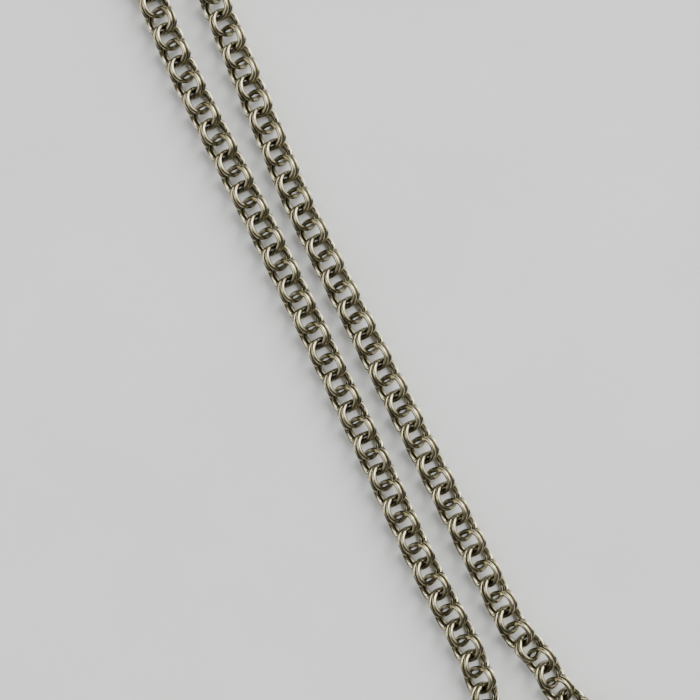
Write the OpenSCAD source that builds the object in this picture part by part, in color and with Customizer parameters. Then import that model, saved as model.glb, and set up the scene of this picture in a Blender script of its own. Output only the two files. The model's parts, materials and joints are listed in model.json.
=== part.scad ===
// Chain necklace with double wire links, lying open on a table in two side by side strands.
// The links lean alternately left and right, and their tops and undersides are filed flat.
// +Z is up, +Y runs from the fold of the chain to its two ends, and z = 0 is the table.

/* [Links] */
// Diameter of the round wire
wire_d = 0.95; // [0.9:0.05:1]
// Length of a link across the chain, outside
link_l = 6.3; // [6.25:0.05:6.35]
// Width of a link along the chain, outside
link_w = 5.6; // [5.55:0.05:5.65]
// Distance from one turn of wire to the other in a link
turn_gap = 1.2; // [1.15:0.01:1.22]
// Diameter of the bead that joins the two turns
seam_d = 0.6; // [0.5:0.05:0.7]
// Distance between the centres of neighbouring links
link_pitch = 3.4; // [3.35:0.05:3.45]
// Lean of each link out of the upright
link_lean = 43; // [42:1:45]
// Height of the chain between its filed faces
filed_height = 5.15; // [5.1:0.05:5.3]
// Width of the chain between its filed sides
filed_width = 5.6; // [5.5:0.1:5.8]
// Links in one length of chain
links_each = 3; // [3:1:3]
// Lengths of chain on each side of the middle one
lengths_each_side = 25; // [25:1:25]

/* [Rings] */
// Wire of the two jump rings
jump_wire_d = 1; // [0.9:0.05:1]
// Outside diameter of the two jump rings
jump_od = 6.4; // [6.3:0.1:6.5]
// Wire of the catch ring
catch_wire_d = 1.4; // [1.3:0.1:1.4]
// Outside diameter of the catch ring
catch_od = 8.6; // [8.4:0.1:8.8]

/* [Clasp] */
// Thickness of the clasp
clasp_t = 3.6; // [3.4:0.1:3.8]
// Outside radius of the clasp's head
head_r = 4.5; // [4.4:0.1:4.6]
// Radius of the opening in the head
mouth_r = 2.45; // [2.4:0.05:2.5]
// Distance from the clasp's eye to the middle of its head
head_y = 11.4; // [11.2:0.1:11.6]
// Diameter of the lever's pin
pin_d = 1; // [0.9:0.05:1.1]
// Thickness of the lever's tongue
tongue_t = 1.3; // [1.2:0.1:1.4]

/* [Hidden] */
$fn = 48;
silver = [0.60, 0.56, 0.46];
dark_silver = [0.48, 0.44, 0.36];
steel = [0.70, 0.70, 0.70];

end_r = (link_w - wire_d) / 2;
straight_l = link_l - link_w;
jump_r = (jump_od - jump_wire_d) / 2;
catch_r = (catch_od - catch_wire_d) / 2;
mid_z = filed_height / 2;

// Each stretch of the route is [number of links, turn from each link to the next in degrees],
// counted from the middle of the fold to an end. Positive turns are anticlockwise from above.
middle_heading = 7;
middle_place = [2.25, -131.12];
right_route = [[12, 10.5], [2, 0], [4, -10.5], [2, 9], [2, -9], [25, 0], [4, -1.2], [10, 0], [15, -1]];
left_route = [[11, -10.5], [6, 0], [6, 3.5], [3, 0], [3, -1.3], [27, 0.1], [6, -0.8], [14, 1.2]];

links_each_branch = lengths_each_side * links_each + (links_each - 1) / 2;
half_length = (links_each - 1) / 2;

// Places are [x, y, heading], and step() goes from one link to the next.
function along(a) = [cos(a), sin(a)];
function step(p, turn) =
    let (h = p[2] + turn, v = (along(p[2]) + along(h)) * link_pitch / 2)
    [p[0] + v[0], p[1] + v[1], h];
function turns(route) = [for (s = route) for (i = [1:s[0]]) s[1]];
function places(start, t) =
    [for (i = 0, p = start; i <= len(t); p = i < len(t) ? step(p, t[i]) : p, i = i + 1) p];

right_places = places([middle_place[0], middle_place[1], middle_heading], turns(right_route));
left_places = places([middle_place[0], middle_place[1], middle_heading + 180], turns(left_route));
right_end = right_places[links_each_branch];
left_end = left_places[links_each_branch];

two_digits = [for (i = [0:99]) str(i < 10 ? "0" : "", i)];
function left_name(i) = str("chain_left_", two_digits[i]);
function right_name(i) = str("chain_right_", two_digits[i]);

// ---- chain ----

// A ring of round wire at height z, a little longer along X than it is wide
module oval_turn(d, z) {
    for (turn = [0, 180])
        translate([0, 0, z])
            rotate([0, 0, turn]) {
                translate([straight_l / 2, 0, 0])
                    rotate([0, 0, -90])
                        rotate_extrude(angle = 180) translate([end_r, 0]) circle(d = d);
                translate([-straight_l / 2, end_r, 0])
                    rotate([0, 90, 0]) cylinder(d = d, h = straight_l);
            }
}

// A double wire link, leaning to one side and filed flat all round; side is +1 or -1
module link(side) {
    intersection() {
        rotate([0, side * link_lean, 0]) {
            oval_turn(wire_d, -turn_gap / 2);
            oval_turn(seam_d, 0);
            oval_turn(wire_d, turn_gap / 2);
        }
        cube([filed_width, 2 * link_w, filed_height], center = true);
    }
}

// Puts its children at a place of the route, with their own Y along the chain
module at_place(p, z = mid_z) {
    translate([p[0], p[1], z]) rotate([0, 0, p[2] - 90]) children();
}

// Odd and even links lean opposite ways. The left branch heads the other way out of the middle
// link, so there the same lean has the other sign.
right_side = 1;
left_side = -1;
function lean_side(branch_side, i) = i % 2 == 0 ? branch_side : -branch_side;

// Links from first to last along a branch
module links(branch, branch_side, first, last) {
    color(silver)
        for (i = [first:last])
            at_place(branch[i]) link(lean_side(branch_side, i));
}

module chain_middle() {
    links(right_places, right_side, 0, half_length);
    links(left_places, left_side, 1, half_length);
}

module chain_length(branch, branch_side, number) {
    first = half_length + 1 + (number - 1) * links_each;
    links(branch, branch_side, first, first + links_each - 1);
}

// ---- rings at the two ends ----

right_end_side = lean_side(right_side, links_each_branch);
left_end_side = lean_side(left_side, links_each_branch);
jump_lean = 45;
jump_z = jump_r * sin(jump_lean) + jump_wire_d / 2 + 0.15;
jump_y = 3.45;
catch_near_y = jump_y + 0.95;
catch_tilt = asin((jump_z - catch_wire_d / 2) / (2 * catch_r));

// A jump ring leans the other way from the last link, whose side is given
module jump_ring(last_side) {
    color(silver)
        translate([0, jump_y, jump_z])
            rotate([0, -last_side * jump_lean, 0])
                rotate_extrude() translate([jump_r, 0]) circle(d = jump_wire_d);
}

module clasp_jump_ring() {
    at_place(left_end, 0) jump_ring(left_end_side);
}

module end_jump_ring() {
    at_place(right_end, 0) jump_ring(right_end_side);
}

module catch_ring() {
    color(silver)
        at_place(right_end, 0)
            translate([0, catch_near_y, jump_z])
                rotate([-catch_tilt, 0, 0])
                    translate([0, catch_r, 0])
                        rotate_extrude() translate([catch_r, 0]) circle(d = catch_wire_d);
}

// ---- clasp, in its own place: eye at the origin, head towards +Y, lever on the right ----

eye_r = 2.1;
eye_wire_d = 1;
eye_y = jump_y + jump_r - 0.25;
eye_x = -left_end_side * (jump_z - clasp_t / 2);
base_y = 4.2;
base_r = 2.4;
pivot = [2.1, base_y + 2.2];
play = 0.15;
cheek_r = 1.25;
slot_t = tongue_t + 2 * play;
slot_r = 2.1;
lever_turn = 20;
tip_y = head_y + 2.2;
tip_slope = 5;
tab_r = 0.9;

module at_clasp() {
    at_place(left_end, clasp_t / 2) translate([eye_x, eye_y, 0]) children();
}

// The outside of the clasp from above
module clasp_outline() {
    translate([0, head_y]) circle(head_r);
    translate([0, base_y]) circle(base_r);
    polygon([[-base_r, base_y], [base_r, base_y], [head_r * 0.985, head_y - 0.8], [-head_r * 0.985, head_y - 0.8]]);
}

// The side of the clasp that the lever fills, from near the pivot to the tip of the hook
module lever_side(inner_angle, gap, slope, above_pivot) {
    low_y = pivot[1] + above_pivot;
    polygon([
        pivot + above_pivot * along(inner_angle),
        pivot + 3 * along(inner_angle),
        [0, head_y],
        [0, tip_y - gap],
        [3 * head_r, tip_y - gap - 3 * head_r * tan(slope)],
        [3 * head_r, low_y]
    ]);
}

module plate(t) {
    linear_extrude(t, center = true) children();
}

module clasp_body() {
    color(silver)
        at_clasp()
            difference() {
                union() {
                    plate(clasp_t)
                        difference() {
                            clasp_outline();
                            translate([0, head_y]) circle(mouth_r);
                            lever_side(90 + lever_turn + 6, 0, 0, 0);
                        }
                    translate(pivot) cylinder(r = cheek_r, h = clasp_t, center = true);
                    rotate_extrude() translate([eye_r, 0]) circle(d = eye_wire_d);
                }
                translate(pivot) cylinder(r = slot_r, h = slot_t, center = true);
                translate(pivot) cylinder(d = pin_d, h = 2 * clasp_t, center = true);
            }
}

module clasp_lever() {
    color(dark_silver)
        at_clasp()
            difference() {
                union() {
                    plate(clasp_t - 2 * play)
                        difference() {
                            union() {
                                intersection() {
                                    clasp_outline();
                                    lever_side(88, play, tip_slope, 1);
                                }
                                translate([head_r, head_y - 3.2]) circle(tab_r);
                            }
                            translate([0, head_y]) circle(mouth_r);
                            translate(pivot) circle(cheek_r + play);
                        }
                    plate(tongue_t) {
                        translate(pivot) circle(cheek_r - 0.1);
                        translate(pivot) rotate(-15) translate([-0.5, 0]) square([1.2, 2.2]);
                    }
                }
                translate(pivot) cylinder(d = pin_d + 0.1, h = 2 * clasp_t, center = true);
            }
}

module clasp_pin() {
    color(steel)
        at_clasp() translate(pivot) cylinder(d = pin_d, h = clasp_t, center = true);
}

// A curved leaf in the slot, behind the lever's tongue
module clasp_spring() {
    color(steel)
        at_clasp()
            translate(pivot)
                rotate([0, 0, 130])
                    rotate_extrude(angle = 110)
                        translate([slot_r - 0.45, -tongue_t / 2]) square([0.2, tongue_t]);
}

clasp_body();
clasp_lever();
clasp_pin();
clasp_spring();
clasp_jump_ring();
catch_ring();
end_jump_ring();
chain_middle();
for (i = [1:lengths_each_side])
    chain_length(left_places, left_side, i);
for (i = [1:lengths_each_side])
    chain_length(right_places, right_side, i);
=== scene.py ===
"""Chain necklace of double wire links, open on pale paper in two strands, with its clasp and catch ring.

Every link is wound from one round wire, leans out of the upright, and is filed flat on all four sides.
Lengths are in millimetres, and MM turns them into Blender's metres.
"""

import json
import math
import random

import bmesh
import bpy
import numpy as np
from mathutils import Matrix, Vector
from mathutils.bvhtree import BVHTree


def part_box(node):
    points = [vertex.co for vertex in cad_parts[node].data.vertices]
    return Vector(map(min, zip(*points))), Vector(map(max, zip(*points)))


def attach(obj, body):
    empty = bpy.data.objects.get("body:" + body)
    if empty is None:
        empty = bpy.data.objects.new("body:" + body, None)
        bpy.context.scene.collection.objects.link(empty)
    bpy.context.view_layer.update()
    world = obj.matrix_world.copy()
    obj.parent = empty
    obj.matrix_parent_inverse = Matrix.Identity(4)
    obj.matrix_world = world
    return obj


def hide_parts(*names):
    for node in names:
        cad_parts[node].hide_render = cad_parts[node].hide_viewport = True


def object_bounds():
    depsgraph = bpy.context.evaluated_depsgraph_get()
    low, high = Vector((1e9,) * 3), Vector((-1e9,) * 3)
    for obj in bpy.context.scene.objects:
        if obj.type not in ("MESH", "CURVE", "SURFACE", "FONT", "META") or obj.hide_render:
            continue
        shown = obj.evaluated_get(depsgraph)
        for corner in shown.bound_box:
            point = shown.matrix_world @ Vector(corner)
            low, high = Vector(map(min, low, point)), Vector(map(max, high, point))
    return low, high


MM = 0.001

# Links: the wire's centreline is an oval, and a SQUARENESS below 1 fills out its corners
WIRE_R = 0.47
LINK_LONG_R = 2.76
LINK_SHORT_R = 2.34
SQUARENESS = 0.88
TURNS = 1.8
TURN_PITCH = 1.25
LEAN = math.radians(43)
FILED_WIDTH = 5.7
FIRST_END = math.radians(-50)
LINK_PITCH = 3.4
RINGS_PER_TURN = 56
WIRE_SIDES = 20
CUT_CHAMFER = 0.07
FILE_CHAMFER = 0.035
WELD_DISTANCE = 0.002
SHARP_ANGLE = 32

# How unlike each other the links are
SEED = 7
TURN_SPREAD = math.radians(1.3)
ROLL_SPREAD = math.radians(1.4)
SLIDE_SPREAD = 0.035

# Rings: the cut of a jump ring, and how much of its radius the catch ring's wire swells by at the solder
RING_STEPS = 120
RING_SIDES = 24
CUT_GAP = 0.05
SEAM_SWELL = 0.05
SEAM_LENGTH = 0.45

# The lever's pin: the dome at each end, and the share of it that lies below the end of the CAD pin
RIVET_DOME = 0.07
RIVET_SUNK = 0.4
RIVET_STEPS = 6
RIVET_SIDES = 40
RIVET_SHARP_ANGLE = 40

# Openness: the share of short rays that leave a point of the surface freely; where it is low the silver is
# painted dark, for oxide and for shade. The rays from a link meet itself and this many neighbours on each
# side.
NEIGHBOURS = 2
RAY_COUNT = 26
RAY_LENGTH = 3.2
RAY_START = 0.004 * RAY_LENGTH

# Silver: the fine grain's share in the edge of the dark gaps, which are oxide and painted shade, in the
# roughness and in the height, and how much rougher the dark gaps are than bare metal
GRAIN_IN_TARNISH_AND_SHADE = 0.16
GRAIN_IN_ROUGHNESS = 0.14
GRAIN_IN_HEIGHT = 0.35
TARNISH_AND_SHADE_ROUGHNESS = 0.22

# The colour sockets of a Mix node, whose names repeat for every kind of data
MIX_A, MIX_B, MIX_RESULT = 6, 7, 2

# The view
VIEW_CENTRE = (-3.35, -8.35)
VIEW_ROLL = math.radians(26)
VIEW_TILT = math.radians(3)
VIEW_WIDTH = 136.7
VIEW_DISTANCE = 320.0
SENSOR = 36.0

# The sheet of paper, and its distance below the necklace
FLOOR_SIZE = 2400.0
FLOOR_GAP = 0.02

# The room's light: for each glow its direction, the cosine of the angle where it ends, and its level
SKY_BASE = 0.05
SKY_LIGHTS = (
    ((0.72, 0.30, 0.62), 0.60, 4.7),
    ((0.0, 0.0, 1.0), 0.20, 0.25),
    ((-0.75, 0.45, 0.55), 0.70, 1.3),
)

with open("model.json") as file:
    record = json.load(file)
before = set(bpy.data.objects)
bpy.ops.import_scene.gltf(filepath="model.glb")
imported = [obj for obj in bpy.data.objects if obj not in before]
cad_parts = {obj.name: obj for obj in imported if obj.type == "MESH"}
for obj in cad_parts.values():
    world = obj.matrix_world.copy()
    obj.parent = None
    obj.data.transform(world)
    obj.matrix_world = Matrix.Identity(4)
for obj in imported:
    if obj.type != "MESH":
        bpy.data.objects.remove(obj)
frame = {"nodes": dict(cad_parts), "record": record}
cad_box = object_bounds()
node_body = {n: b for b, nodes in frame["record"]["behaviour"]["bodies"].items() for n in nodes}
mid_z = (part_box("chain_middle")[0].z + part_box("chain_middle")[1].z) / 2 / MM
draw = random.Random(SEED)


# ---- reading the frame ----

def corners_and_triangles(obj):
    """A node's vertices in millimetres, welded, and its triangles."""
    mesh = obj.data
    mesh.calc_loop_triangles()
    co = np.array([v.co for v in mesh.vertices], float) / MM
    tri = np.array([t.vertices for t in mesh.loop_triangles])
    _, first, same = np.unique(np.round(co, 4), axis=0, return_index=True, return_inverse=True)
    return co[first], same.ravel()[tri]


def solids(obj):
    """The separate solids of a node, each as its vertices and triangles."""
    co, tri = corners_and_triangles(obj)
    # Each vertex takes the lowest label in its triangles, until every solid has a single label
    label = np.arange(len(co))
    while True:
        low = label.copy()
        np.minimum.at(low, tri.ravel(), np.repeat(label[tri].min(axis=1), 3))
        low = low[low]
        if (low == label).all():
            break
        label = low
    return [(co, tri[label[tri[:, 0]] == n]) for n in np.unique(label[tri[:, 0]])]


def link_place(co, tri):
    """Where a link is: its middle, turned so that +X points at the end of it that leans up."""
    used = co[np.unique(tri)]
    middle = (used.min(axis=0) + used.max(axis=0)) / 2
    a, b, c = (co[tri[:, i]] for i in range(3))
    area = np.linalg.norm(np.cross(b - a, c - a), axis=1)
    out = (a + b + c) / 3 - middle
    rise = (area * out[:, 2]) @ out[:, :2]
    return Matrix.Translation(Vector(middle)) @ Matrix.Rotation(math.atan2(rise[1], rise[0]), 4, "Z")


def ring_place(obj):
    """A ring's middle, axis, wire radius and the radius of its centreline, from its node."""
    co, _ = corners_and_triangles(obj)
    middle = (co.min(axis=0) + co.max(axis=0)) / 2
    out = co - middle
    axis = np.linalg.eigh(out.T @ out)[1][:, 0]
    axis = axis if axis[2] > 0 else -axis
    wire = np.abs(out @ axis).max()
    flat = out - np.outer(out @ axis, axis)
    return Vector(middle), Vector(axis), float(wire), float(np.linalg.norm(flat, axis=1).max() - wire)


# ---- mesh building ----

def sweep(centres, outward, sides, radius_at, closed=False):
    """A tube along centres as a bmesh. outward fixes where each ring of vertices starts."""
    bm = bmesh.new()
    n = len(centres)
    rings = []
    for i in range(n):
        before = centres[(i - 1) % n if closed else max(i - 1, 0)]
        after = centres[(i + 1) % n if closed else min(i + 1, n - 1)]
        along = (after - before).normalized()
        out = (outward[i] - along * outward[i].dot(along)).normalized()
        side = along.cross(out)
        ring = []
        for k in range(sides):
            a = 2 * math.pi * k / sides
            ring.append(bm.verts.new(centres[i] + radius_at(i) * (math.cos(a) * out + math.sin(a) * side)))
        rings.append(ring)
    for i in range(n if closed else n - 1):
        one, two = rings[i], rings[(i + 1) % n]
        for k in range(sides):
            bm.faces.new((one[k], one[(k + 1) % sides], two[(k + 1) % sides], two[k]))
    if not closed:
        bm.faces.new(reversed(rings[0]))
        bm.faces.new(rings[-1])
    bmesh.ops.recalc_face_normals(bm, faces=bm.faces)
    return bm


def finish_edges(bm, angle=SHARP_ANGLE):
    """Smooth shading, broken at edges sharper than the angle in degrees."""
    for f in bm.faces:
        f.smooth = True
    for e in bm.edges:
        e.smooth = len(e.link_faces) == 2 and e.calc_face_angle(0) < math.radians(angle)


def hemisphere(count):
    """Directions on the +Z side, denser towards +Z in the way that light counts on a surface facing it."""
    turn = math.pi * (3 - math.sqrt(5))
    points = []
    for i in range(count):
        z = math.sqrt((i + 0.5) / count)
        r = math.sqrt(1 - z * z)
        points.append(Vector((r * math.cos(turn * i), r * math.sin(turn * i), z)))
    return points


def openness(bm, obstacles):
    """Sets the layer "open" on bm: 1 where a vertex is out in the open, 0 deep in a gap."""
    rays = hemisphere(RAY_COUNT)
    layer = bm.verts.layers.float.new("open")
    for v in bm.verts:
        turn = Vector((0, 0, 1)).rotation_difference(v.normal)
        start = v.co + v.normal * RAY_START
        free = sum(obstacles.ray_cast(start, turn @ d, RAY_LENGTH)[0] is None for d in rays)
        v[layer] = free / len(rays)


def new_object(name, bm, material):
    """Turns a bmesh in millimetres into a Blender object in metres."""
    bmesh.ops.transform(bm, matrix=Matrix.Scale(MM, 4), verts=bm.verts)
    mesh = bpy.data.meshes.new(name)
    bm.to_mesh(mesh)
    bm.free()
    obj = bpy.data.objects.new(name, mesh)
    bpy.context.scene.collection.objects.link(obj)
    mesh.materials.append(material)
    return obj


def stand_for(obj, node):
    """obj takes the place of a CAD node."""
    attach(obj, node_body[node])
    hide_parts(node)


# ---- materials ----

def nodes_of(name):
    """A new node material with its node adder, linker and Principled shader."""
    material = bpy.data.materials.new(name)
    material.use_nodes = True
    tree = material.node_tree
    shader = tree.nodes["Principled BSDF"]

    def add(kind, **settings):
        node = tree.nodes.new("ShaderNode" + kind)
        for key, value in settings.items():
            if hasattr(node, key):
                setattr(node, key, value)
            else:
                node.inputs[key.replace("_", " ")].default_value = value
        return node

    return material, add, tree.links.new, shader


def ramp(add, low, high, low_value, high_value):
    """A smooth step from low_value to high_value."""
    return add("MapRange", interpolation_type="SMOOTHSTEP", From_Min=low, From_Max=high,
               To_Min=low_value, To_Max=high_value)


def mixed(add, link, share, one, two):
    """Mixes two colours, each a colour or a socket."""
    node = add("Mix", data_type="RGBA")
    link(share, node.inputs["Factor"])
    for socket, value in ((node.inputs[MIX_A], one), (node.inputs[MIX_B], two)):
        if isinstance(value, tuple):
            socket.default_value = (*value, 1)
        else:
            link(value, socket)
    return node.outputs[MIX_RESULT]


def scaled_sum(add, link, one, factor, two):
    """The socket of one * factor + two, where one and two are sockets."""
    node = add("Math", operation="MULTIPLY_ADD")
    link(one, node.inputs[0])
    node.inputs[1].default_value = factor
    link(two, node.inputs[2])
    return node.outputs[0]


def silver(name, clean, dull, black, tarnish_and_shade_low, tarnish_and_shade_high, shine):
    """Oxidised silver: bare metal where it rubs, and black in the gaps, for sulphide and for painted shade.

    Where the surface is less open than the low threshold it is black, and past the high threshold it is bare
    metal, whose colour drifts between clean and dull. The black stands for sulphide and also paints the shade
    that neighbours cast into the gaps. shine is the roughness of bare metal, before the grain is added.
    """
    material, add, link, shader = nodes_of(name)
    place = add("TexCoord").outputs["Object"]
    shader.inputs["Metallic"].default_value = 1.0

    cloud = add("TexNoise", Scale=420.0, Detail=3.0, Roughness=0.6)
    speck = add("TexNoise", Scale=2600.0, Detail=4.0, Roughness=0.65)
    for node in (cloud, speck):
        link(place, node.inputs["Vector"])
    opened = add("Attribute", attribute_name="open").outputs["Fac"]

    # The grain's middle value is a half, so it lifts both ends of the ramp by half its share
    lift = GRAIN_IN_TARNISH_AND_SHADE / 2
    bare = ramp(add, tarnish_and_shade_low + lift, tarnish_and_shade_high + lift, 0.0, 1.0)
    link(scaled_sum(add, link, speck.outputs["Fac"], GRAIN_IN_TARNISH_AND_SHADE, opened), bare.inputs["Value"])
    warm = ramp(add, 0.38, 0.66, 0.0, 1.0)
    link(cloud.outputs["Fac"], warm.inputs["Value"])
    metal = mixed(add, link, warm.outputs[0], clean, dull)
    # Black where the surface is closed in: sulphide, and painted shade from the neighbouring wires
    link(mixed(add, link, bare.outputs[0], black, metal), shader.inputs["Base Color"])

    rough = ramp(add, 0.0, 1.0, shine + TARNISH_AND_SHADE_ROUGHNESS, shine)
    link(bare.outputs[0], rough.inputs["Value"])
    worn = scaled_sum(add, link, speck.outputs["Fac"], GRAIN_IN_ROUGHNESS, rough.outputs[0])
    link(worn, shader.inputs["Roughness"])

    bump = add("Bump", Strength=0.22, Distance=0.00006)
    height = scaled_sum(add, link, speck.outputs["Fac"], GRAIN_IN_HEIGHT, cloud.outputs["Fac"])
    link(height, bump.inputs["Height"])
    link(bump.outputs[0], shader.inputs["Normal"])
    return material


def steel(name):
    """Bright spring steel with fine drawn lines."""
    material, add, link, shader = nodes_of(name)
    shader.inputs["Metallic"].default_value = 1.0
    place = add("TexCoord").outputs["Object"]
    stretch = add("Mapping", Scale=(900.0, 900.0, 9000.0))
    link(place, stretch.inputs["Vector"])
    lines = add("TexNoise", Scale=1.0, Detail=3.0)
    link(stretch.outputs[0], lines.inputs["Vector"])
    link(mixed(add, link, lines.outputs["Fac"], (0.60, 0.60, 0.58), (0.44, 0.43, 0.41)),
         shader.inputs["Base Color"])
    rough = ramp(add, 0.3, 0.7, 0.18, 0.36)
    link(lines.outputs["Fac"], rough.inputs["Value"])
    link(rough.outputs[0], shader.inputs["Roughness"])
    return material


def paper():
    """Pale paper with faint mottling."""
    material, add, link, shader = nodes_of("floor_paper")
    place = add("TexCoord").outputs["Object"]
    mottle = add("TexNoise", Scale=26.0, Detail=5.0, Roughness=0.55)
    fibre = add("TexNoise", Scale=1400.0, Detail=3.0, Roughness=0.7)
    for node in (mottle, fibre):
        link(place, node.inputs["Vector"])
    tone = ramp(add, 0.3, 0.7, 0.0, 1.0)
    link(mottle.outputs["Fac"], tone.inputs["Value"])
    link(mixed(add, link, tone.outputs[0], (0.59, 0.60, 0.59), (0.62, 0.625, 0.62)),
         shader.inputs["Base Color"])
    shader.inputs["Roughness"].default_value = 0.85
    bump = add("Bump", Strength=0.12, Distance=0.0001)
    link(fibre.outputs["Fac"], bump.inputs["Height"])
    link(bump.outputs[0], shader.inputs["Normal"])
    return material


# Both silvers paint their gaps black: sulphide, and painted shade where neighbours hide the light
link_silver = silver(
    "oxidised_silver_and_painted_shade",
    clean=(0.380, 0.345, 0.228),
    dull=(0.265, 0.238, 0.150),
    black=(0.026, 0.024, 0.017),
    tarnish_and_shade_low=0.29,
    tarnish_and_shade_high=0.64,
    shine=0.14,
)
clasp_silver = silver(
    "polished_silver",
    clean=(0.46, 0.425, 0.315),
    dull=(0.37, 0.338, 0.245),
    black=(0.03, 0.027, 0.020),
    tarnish_and_shade_low=0.28,
    tarnish_and_shade_high=0.66,
    shine=0.15,
)
bright_steel = steel("bright_steel")


# ---- links ----

def link_bmesh():
    """One link in its own place: middle at the origin, strand along Y, the end that leans up at +X."""
    u = Vector((math.cos(LEAN), 0, math.sin(LEAN)))
    axis = Vector((-math.sin(LEAN), 0, math.cos(LEAN)))
    whole = 2 * math.pi * TURNS
    steps = round(RINGS_PER_TURN * TURNS)
    chamfer_turn = CUT_CHAMFER / LINK_LONG_R
    turns = [0, chamfer_turn] + [whole * i / steps for i in range(1, steps)] + [whole - chamfer_turn, whole]
    outward = [math.cos(FIRST_END + t) * u - math.sin(FIRST_END + t) * Vector((0, 1, 0)) for t in turns]
    centres = []
    for t in turns:
        a = FIRST_END + t
        across = LINK_LONG_R * math.copysign(abs(math.cos(a)) ** SQUARENESS, math.cos(a))
        along = LINK_SHORT_R * math.copysign(abs(math.sin(a)) ** SQUARENESS, math.sin(a))
        rise = TURN_PITCH * (t / (2 * math.pi) - TURNS / 2)
        centres.append(across * u - along * Vector((0, 1, 0)) + rise * axis)
    ends = (0, len(turns) - 1)
    bm = sweep(centres, outward, WIRE_SIDES, lambda i: WIRE_R - (CUT_CHAMFER if i in ends else 0))
    for face in ((0, 0, -mid_z), (0, 0, mid_z), (-FILED_WIDTH / 2, 0, 0), (FILED_WIDTH / 2, 0, 0)):
        bmesh.ops.bisect_plane(
            bm, geom=bm.verts[:] + bm.edges[:] + bm.faces[:], plane_co=face, plane_no=face, clear_outer=True
        )
        rim = [e for e in bm.edges if e.is_boundary]
        made = bmesh.ops.edgeloop_fill(bm, edges=rim)["faces"]
        bmesh.ops.bevel(bm, geom=list({e for f in made for e in f.edges}), offset=FILE_CHAMFER, segments=2,
                        profile=0.5, affect="EDGES", clamp_overlap=True)
    bmesh.ops.remove_doubles(bm, verts=bm.verts, dist=WELD_DISTANCE)
    bmesh.ops.recalc_face_normals(bm, faces=bm.faces)
    finish_edges(bm)
    return bm


def link_prototype():
    """The link's mesh, in millimetres, with how open each point of it is among its neighbours."""
    bm = link_bmesh()
    row = bmesh.new()
    mesh = bpy.data.meshes.new("link")
    bm.to_mesh(mesh)
    for k in range(-NEIGHBOURS, NEIGHBOURS + 1):
        start = len(row.verts)
        row.from_mesh(mesh)
        place = Matrix.Translation((0, k * LINK_PITCH, 0)) @ Matrix.Rotation(math.pi * (k % 2), 4, "Z")
        row.verts.ensure_lookup_table()
        bmesh.ops.transform(row, matrix=place, verts=row.verts[start:])
    bm.normal_update()
    openness(bm, BVHTree.FromBMesh(row))
    row.free()
    bm.to_mesh(mesh)
    bm.free()
    return mesh


def either_way(spread):
    """A random amount of up to spread, either way."""
    return draw.uniform(-1, 1) * spread


def unlike():
    """A small slip of one link from its place, as no two lie quite alike."""
    slide = Matrix.Translation((either_way(SLIDE_SPREAD), either_way(SLIDE_SPREAD), 0))
    turn = Matrix.Rotation(either_way(TURN_SPREAD), 4, "Z")
    roll = Matrix.Rotation(either_way(ROLL_SPREAD), 4, "Y")
    return slide @ turn @ roll


def chain_length(node, mesh):
    """The links of one chain node, as wound coils in the places of its solids."""
    bm = bmesh.new()
    for co, tri in solids(frame["nodes"][node]):
        start = len(bm.verts)
        bm.from_mesh(mesh)
        bm.verts.ensure_lookup_table()
        bmesh.ops.transform(bm, matrix=link_place(co, tri) @ unlike(), verts=bm.verts[start:])
    obj = new_object(node.replace("chain", "links"), bm, link_silver)
    stand_for(obj, node)


link_mesh = link_prototype()
for node in sorted(n for n in frame["nodes"] if n.startswith("chain_")):
    chain_length(node, link_mesh)


# ---- rings ----

def ring(node, name, cut_at=None, seam_at=None):
    """A ring of wire in its node's place: cut open at an angle in degrees, or soldered there."""
    middle, axis, wire, radius = ring_place(frame["nodes"][node])
    side = axis.orthogonal().normalized()
    other = axis.cross(side)
    if cut_at is not None:
        gap = CUT_GAP / radius
        start, whole = math.radians(cut_at) + gap / 2, 2 * math.pi - gap
        edge = CUT_CHAMFER / radius
        inner = [whole * i / RING_STEPS for i in range(1, RING_STEPS)]
        turns = [0, edge] + inner + [whole - edge, whole]
    else:
        start, whole = 0, 2 * math.pi
        turns = [whole * i / RING_STEPS for i in range(RING_STEPS)]
    outward = [math.cos(start + t) * side + math.sin(start + t) * other for t in turns]

    def radius_at(i):
        if cut_at is not None:
            return wire - (CUT_CHAMFER if i in (0, len(turns) - 1) else 0)
        away = math.remainder(turns[i] - math.radians(seam_at), 2 * math.pi) * radius
        return wire * (1 + SEAM_SWELL * math.exp(-((away / SEAM_LENGTH) ** 2)))

    centres = [middle + radius * out for out in outward]
    bm = sweep(centres, outward, RING_SIDES, radius_at, closed=cut_at is None)
    finish_edges(bm)
    bm.normal_update()
    openness(bm, BVHTree.FromBMesh(bm))
    obj = new_object(name, bm, clasp_silver)
    stand_for(obj, node)


ring("clasp_jump_ring", "clasp_jump_ring_wire", cut_at=75)
ring("end_jump_ring", "end_jump_ring_wire", cut_at=75)
ring("catch_ring", "catch_ring_wire", seam_at=200)


# ---- clasp ----

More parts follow.
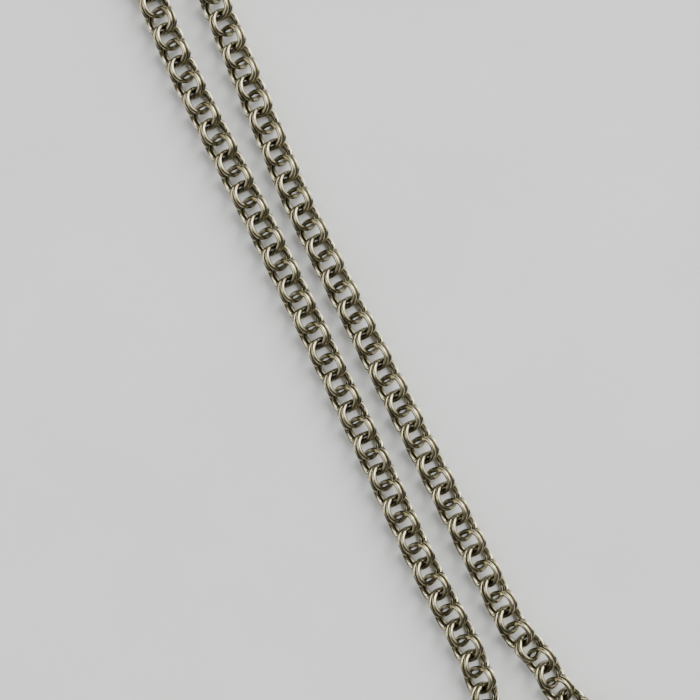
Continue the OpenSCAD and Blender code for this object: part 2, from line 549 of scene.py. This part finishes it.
def cast_copy(node, name, voxel, smoothing):
    """A copy of a CAD node with the rounded corners of a polished casting.

    It is remeshed in cubes of the size voxel, in millimetres, and then smoothed that many times.
    """
    co, tri = corners_and_triangles(frame["nodes"][node])
    rough = bpy.data.meshes.new(name + "_rough")
    rough.from_pydata([tuple(p) for p in co], [], [tuple(int(i) for i in t) for t in tri])
    obj = bpy.data.objects.new(name + "_rough", rough)
    bpy.context.scene.collection.objects.link(obj)
    remesh = obj.modifiers.new("remesh", "REMESH")
    remesh.mode, remesh.voxel_size = "VOXEL", voxel
    soften = obj.modifiers.new("soften", "SMOOTH")
    soften.factor, soften.iterations = 0.5, smoothing
    view = bpy.context.evaluated_depsgraph_get()
    bm = bmesh.new()
    bm.from_mesh(obj.evaluated_get(view).to_mesh())
    bpy.data.objects.remove(obj)
    for f in bm.faces:
        f.smooth = True
    bm.normal_update()
    openness(bm, BVHTree.FromBMesh(bm))
    made = new_object(name, bm, clasp_silver)
    stand_for(made, node)


cast_copy("clasp_body", "clasp_body_cast", voxel=0.1, smoothing=7)
cast_copy("clasp_lever", "clasp_lever_cast", voxel=0.08, smoothing=5)


def rivet(node, name):
    """The lever's pin, with its two ends slightly domed by the rivet set."""
    low, high = (Vector(p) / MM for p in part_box(node))
    middle, r = (low + high) / 2, (high.x - low.x) / 2
    foot = (high.z - low.z) / 2 - RIVET_DOME * RIVET_SUNK
    slopes = [math.pi / 2 * i / RIVET_STEPS for i in range(RIVET_STEPS + 1)]
    profile = [(r * math.sin(a), foot + RIVET_DOME * math.cos(a)) for a in slopes]
    profile += [(x, -z) for x, z in reversed(profile)]
    around = [2 * math.pi * k / RIVET_SIDES for k in range(RIVET_SIDES)]
    bm = bmesh.new()
    rings = []
    for x, z in profile[1:-1]:
        ring_at = [Vector((x * math.cos(a), x * math.sin(a), z)) for a in around]
        rings.append([bm.verts.new(middle + p) for p in ring_at])
    for one, two in zip(rings, rings[1:]):
        for k in range(RIVET_SIDES):
            after = (k + 1) % RIVET_SIDES
            bm.faces.new((one[k], two[k], two[after], one[after]))
    for line, tip in ((rings[0], profile[0][1]), (rings[-1], profile[-1][1])):
        top = bm.verts.new(middle + Vector((0, 0, tip)))
        for k in range(RIVET_SIDES):
            bm.faces.new((line[k], line[(k + 1) % RIVET_SIDES], top))
    bmesh.ops.recalc_face_normals(bm, faces=bm.faces)
    finish_edges(bm, RIVET_SHARP_ANGLE)
    obj = new_object(name, bm, bright_steel)
    stand_for(obj, node)


rivet("clasp_pin", "clasp_pin_rivet")

spring = frame["nodes"]["clasp_spring"]
spring.data.materials.clear()
spring.data.materials.append(bright_steel)


# ---- floor, light and camera ----

def stage():
    """A plain sheet of pale paper under the necklace."""
    bpy.ops.mesh.primitive_plane_add(size=FLOOR_SIZE * MM, location=(0, 0, cad_box[0].z - FLOOR_GAP * MM))
    floor = bpy.context.object
    floor.name = "floor"
    floor.data.materials.append(paper())


def lamp(name, place, size, power, colour):
    """A soft rectangular lamp at a place in metres, facing the middle of the necklace."""
    data = bpy.data.lights.new(name, "AREA")
    data.shape, data.size, data.size_y = "RECTANGLE", *size
    data.energy, data.color = power, colour
    obj = bpy.data.objects.new(name, data)
    obj.location = place
    obj.rotation_mode = "QUATERNION"
    obj.rotation_quaternion = (-Vector(place)).to_track_quat("-Z", "Y")
    bpy.context.scene.collection.objects.link(obj)


def sky():
    """A dim room with a bright window high on the right, a fainter one on the left and a faint ceiling."""
    world = bpy.data.worlds.new("room")
    bpy.context.scene.world = world
    world.use_nodes = True
    tree = world.node_tree
    way = tree.nodes.new("ShaderNodeTexCoord").outputs["Generated"]

    def glow(towards, wide, level):
        """Light from around one direction: full there, none past the angle whose cosine is wide."""
        near = tree.nodes.new("ShaderNodeVectorMath")
        near.operation = "DOT_PRODUCT"
        tree.links.new(way, near.inputs[0])
        near.inputs[1].default_value = Vector(towards).normalized()
        fade = tree.nodes.new("ShaderNodeMapRange")
        fade.interpolation_type = "SMOOTHSTEP"
        tree.links.new(near.outputs["Value"], fade.inputs["Value"])
        for key, value in (("From Min", wide), ("From Max", 1.0), ("To Min", 0.0), ("To Max", level)):
            fade.inputs[key].default_value = value
        return fade.outputs["Result"]

    total = tree.nodes.new("ShaderNodeValue").outputs[0]
    total.default_value = SKY_BASE
    for light in SKY_LIGHTS:
        both = tree.nodes.new("ShaderNodeMath")
        both.operation = "ADD"
        tree.links.new(total, both.inputs[0])
        tree.links.new(glow(*light), both.inputs[1])
        total = both.outputs[0]
    tree.links.new(total, tree.nodes["Background"].inputs["Color"])


def camera():
    """The camera, looking nearly straight down and tilted a little, so that it stands left of the middle."""
    right = Vector((math.cos(VIEW_ROLL), -math.sin(VIEW_ROLL), 0))
    up = Vector((math.sin(VIEW_ROLL), math.cos(VIEW_ROLL), 0))
    back = math.cos(VIEW_TILT) * Vector((0, 0, 1)) - math.sin(VIEW_TILT) * right
    data = bpy.data.cameras.new("camera")
    data.sensor_width = SENSOR
    data.lens = SENSOR * VIEW_DISTANCE / VIEW_WIDTH
    data.clip_start, data.clip_end = 0.01, 10
    obj = bpy.data.objects.new("camera", data)
    across = up.cross(back).normalized()
    turn = Matrix((across, back.cross(across), back)).transposed().to_4x4()
    target = Vector((*VIEW_CENTRE, mid_z))
    obj.matrix_world = Matrix.Translation((target + back * VIEW_DISTANCE) * MM) @ turn
    bpy.context.scene.collection.objects.link(obj)
    bpy.context.scene.camera = obj


stage()
sky()
lamp("key", place=(0.95, 0.45, 0.95), size=(0.5, 0.9), power=14.3, colour=(1.0, 1.0, 0.97))
lamp("fill", place=(-0.8, 0.3, 0.9), size=(0.5, 0.5), power=3.0, colour=(0.97, 0.99, 1.0))
camera()
